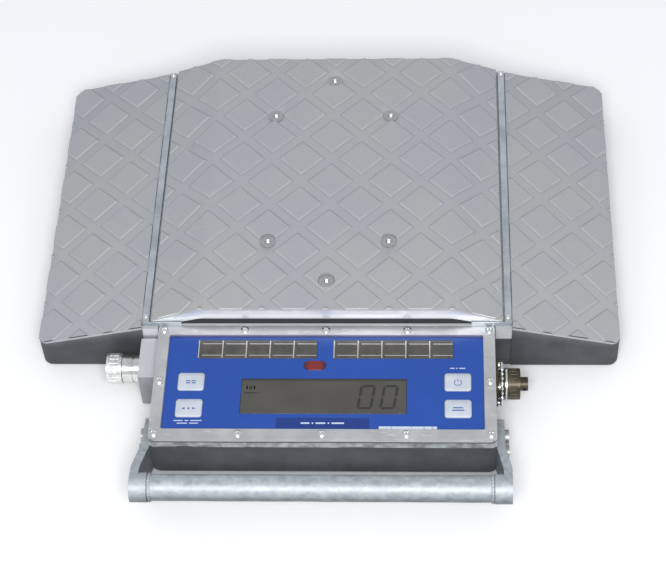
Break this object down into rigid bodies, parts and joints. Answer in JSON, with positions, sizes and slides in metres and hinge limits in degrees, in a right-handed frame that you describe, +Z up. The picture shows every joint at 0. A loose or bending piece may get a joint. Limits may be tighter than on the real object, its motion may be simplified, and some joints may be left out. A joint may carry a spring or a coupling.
{
  "type": "portable wheel load scale",
  "caption": "Low portable wheel load scale: crowned tread platform between two fixed ramps, with an indicator panel, capped ports and a carrying handle.",
  "frame": {"origin": "centre of the weighing platform's footprint, on the ground", "axes": "+X along the wheel's way over the scale, from the charging port's side to the data connector's side; +Y from the handle to the rear; +Z up"},
  "size_m": [0.576, 0.5362, 0.0851],
  "materials": {
    "cast_grey": "as-cast aluminium with a matt grey coat",
    "cast_dark": "cast aluminium with a dark grey coat",
    "rail_metal": "satin anodised aluminium",
    "bezel_metal": "brushed aluminium",
    "screw_steel": "bright zinc plated",
    "steel": "machined steel",
    "galvanised": "hot-dip galvanised, mottled",
    "rubber": "matt black",
    "overlay_blue": "printed satin film",
    "key_grey": "satin light grey",
    "solar_cell": "dark cells under a clear face",
    "red_window": "dark red, glossy",
    "lcd_glass": "clear window",
    "lcd_body": "reflective display",
    "board_green": "solder mask",
    "chip_black": "moulded",
    "brass": "machined",
    "battery_wrap": "shrink sleeve",
    "nickel": "nickel plated, satin",
    "olive": "olive drab plating",
    "cable_black": "sheath"
  },
  "bodies": {
    "base": {"base_frame": "cast_grey", "base_feet": "rubber", "ramp_left": "cast_grey", "ramp_right": "cast_grey", "ramp_feet": "rubber", "ramp_bolts": "steel", "perimeter_seal": "rubber", "rail_left": "rail_metal", "rail_right": "rail_metal", "rail_screws": "screw_steel", "cell_front": "steel", "cell_rear": "steel", "cell_screws": "steel", "stop_screws": "steel", "cell_cables": "cable_black", "housing": "cast_dark", "housing_bolts": "steel", "battery_door": "cast_dark", "door_screws": "screw_steel", "battery_pack": "battery_wrap", "board_posts": "brass", "main_board": "board_green", "board_parts": "chip_black", "panel_gasket": "rubber", "panel_plate": "bezel_metal", "overlay": "overlay_blue", "bezel": "bezel_metal", "bezel_screws": "screw_steel", "solar_left": "solar_cell", "solar_right": "solar_cell", "ir_window": "red_window", "lcd_lens": "lcd_glass", "lcd_module": "lcd_body", "key_boards": "board_green", "key_switches": "chip_black", "key_standoffs": "brass", "port_block": "cast_grey", "block_bolts": "steel", "charge_port": "nickel", "data_connector": "nickel", "connector_screws": "screw_steel", "cap_chain": "nickel", "handle_tube": "galvanised", "arm_left": "galvanised", "arm_right": "galvanised", "arm_bolts": "steel", "handle_welds": "galvanised"},
    "platform": {"deck": "cast_grey", "deck_screws": "screw_steel", "spreader_front": "steel", "spreader_rear": "steel"},
    "key_unit": {"key_unit": "key_grey"},
    "key_total": {"key_total": "key_grey"},
    "key_power": {"key_power": "key_grey"},
    "key_print": {"key_print": "key_grey"},
    "port_seal": {"port_washer": "rubber"},
    "port_cap": {"port_cap": "nickel"},
    "dust_ring": {"cap_ring": "steel"},
    "dust_cap": {"dust_cap": "olive"}
  },
  "joints": [
    {"name": "platform_press", "type": "slide", "parent": "base", "child": "platform", "axis": [0, 0, -1], "range_m": [0, 0.0005], "stiffness_N_per_m": 1000000, "springref_m": -0.0001},
    {"name": "unit_press", "type": "slide", "parent": "base", "child": "key_unit", "axis": [0, 0, -1], "range_m": [0, 0.0007], "stiffness_N_per_m": 2000, "springref_m": -0.0004},
    {"name": "total_press", "type": "slide", "parent": "base", "child": "key_total", "axis": [0, 0, -1], "range_m": [0, 0.0007], "stiffness_N_per_m": 2000, "springref_m": -0.0004},
    {"name": "power_press", "type": "slide", "parent": "base", "child": "key_power", "axis": [0, 0, -1], "range_m": [0, 0.0007], "stiffness_N_per_m": 2000, "springref_m": -0.0004},
    {"name": "print_press", "type": "slide", "parent": "base", "child": "key_print", "axis": [0, 0, -1], "range_m": [0, 0.0007], "stiffness_N_per_m": 2000, "springref_m": -0.0004},
    {"name": "port_cap_travel", "type": "slide", "parent": "base", "child": "port_seal", "axis": [-1, 0, 0], "range_m": [0, 0.0061]},
    {"name": "port_cap_turn", "type": "hinge", "parent": "port_seal", "child": "port_cap", "pos_m": [-0.209, -0.2003, 0.0275], "axis": [-1, 0, 0], "range_deg": [0, 1080]},
    {"name": "dust_cap_travel", "type": "slide", "parent": "base", "child": "dust_ring", "axis": [1, 0, 0], "range_m": [0, 0.0061]},
    {"name": "dust_cap_turn", "type": "hinge", "parent": "dust_ring", "child": "dust_cap", "pos_m": [0.18, -0.22, 0.03], "axis": [1, 0, 0], "range_deg": [0, 1080]}
  ],
  "couplings": [
    {"joint": "port_cap_travel", "follows": "port_cap_turn", "m_per_rad": 0.00031831},
    {"joint": "dust_cap_travel", "follows": "dust_cap_turn", "m_per_rad": 0.00031831}
  ]
}
